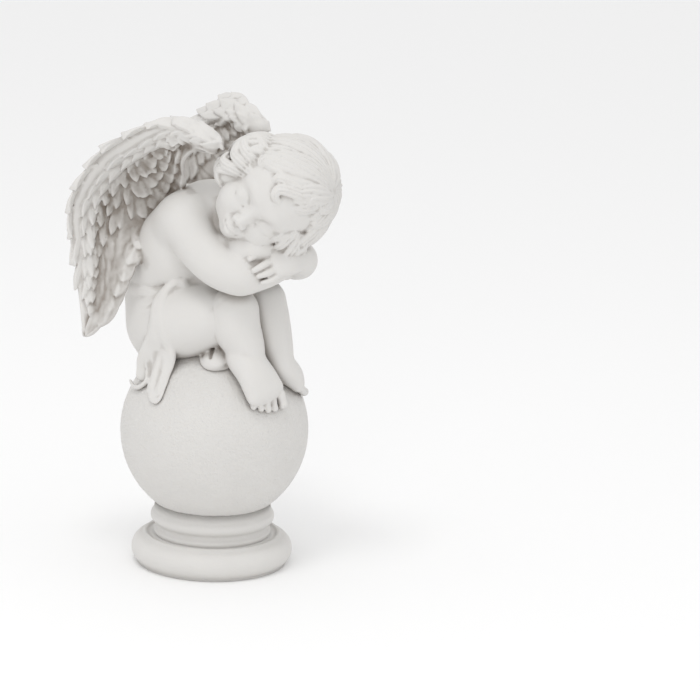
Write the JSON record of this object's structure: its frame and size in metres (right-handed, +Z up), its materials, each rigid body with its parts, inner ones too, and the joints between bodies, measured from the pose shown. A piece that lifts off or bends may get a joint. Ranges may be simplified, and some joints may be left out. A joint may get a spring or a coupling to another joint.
{
  "type": "cherub garden statue",
  "caption": "White cast statue of a winged child asleep on folded arms, seated on a ball above a round moulded plinth; stands by its own weight as a grave or garden ornament.",
  "frame": {"origin": "centre of the plinth's flat underside", "axes": "+Z up; the child faces -Y and its left hand side is +X"},
  "size_m": [0.165, 0.1958, 0.3683],
  "materials": {
    "figure_cast": "smooth matt cast marble-resin, warm grey in the recesses",
    "ball_cast": "fine sandy pitted casting",
    "plinth_cast": "lightly pitted matt casting"
  },
  "bodies": {
    "root": {"cherub": "figure_cast", "ball": "ball_cast", "plinth": "plinth_cast"}
  },
  "joints": []
}
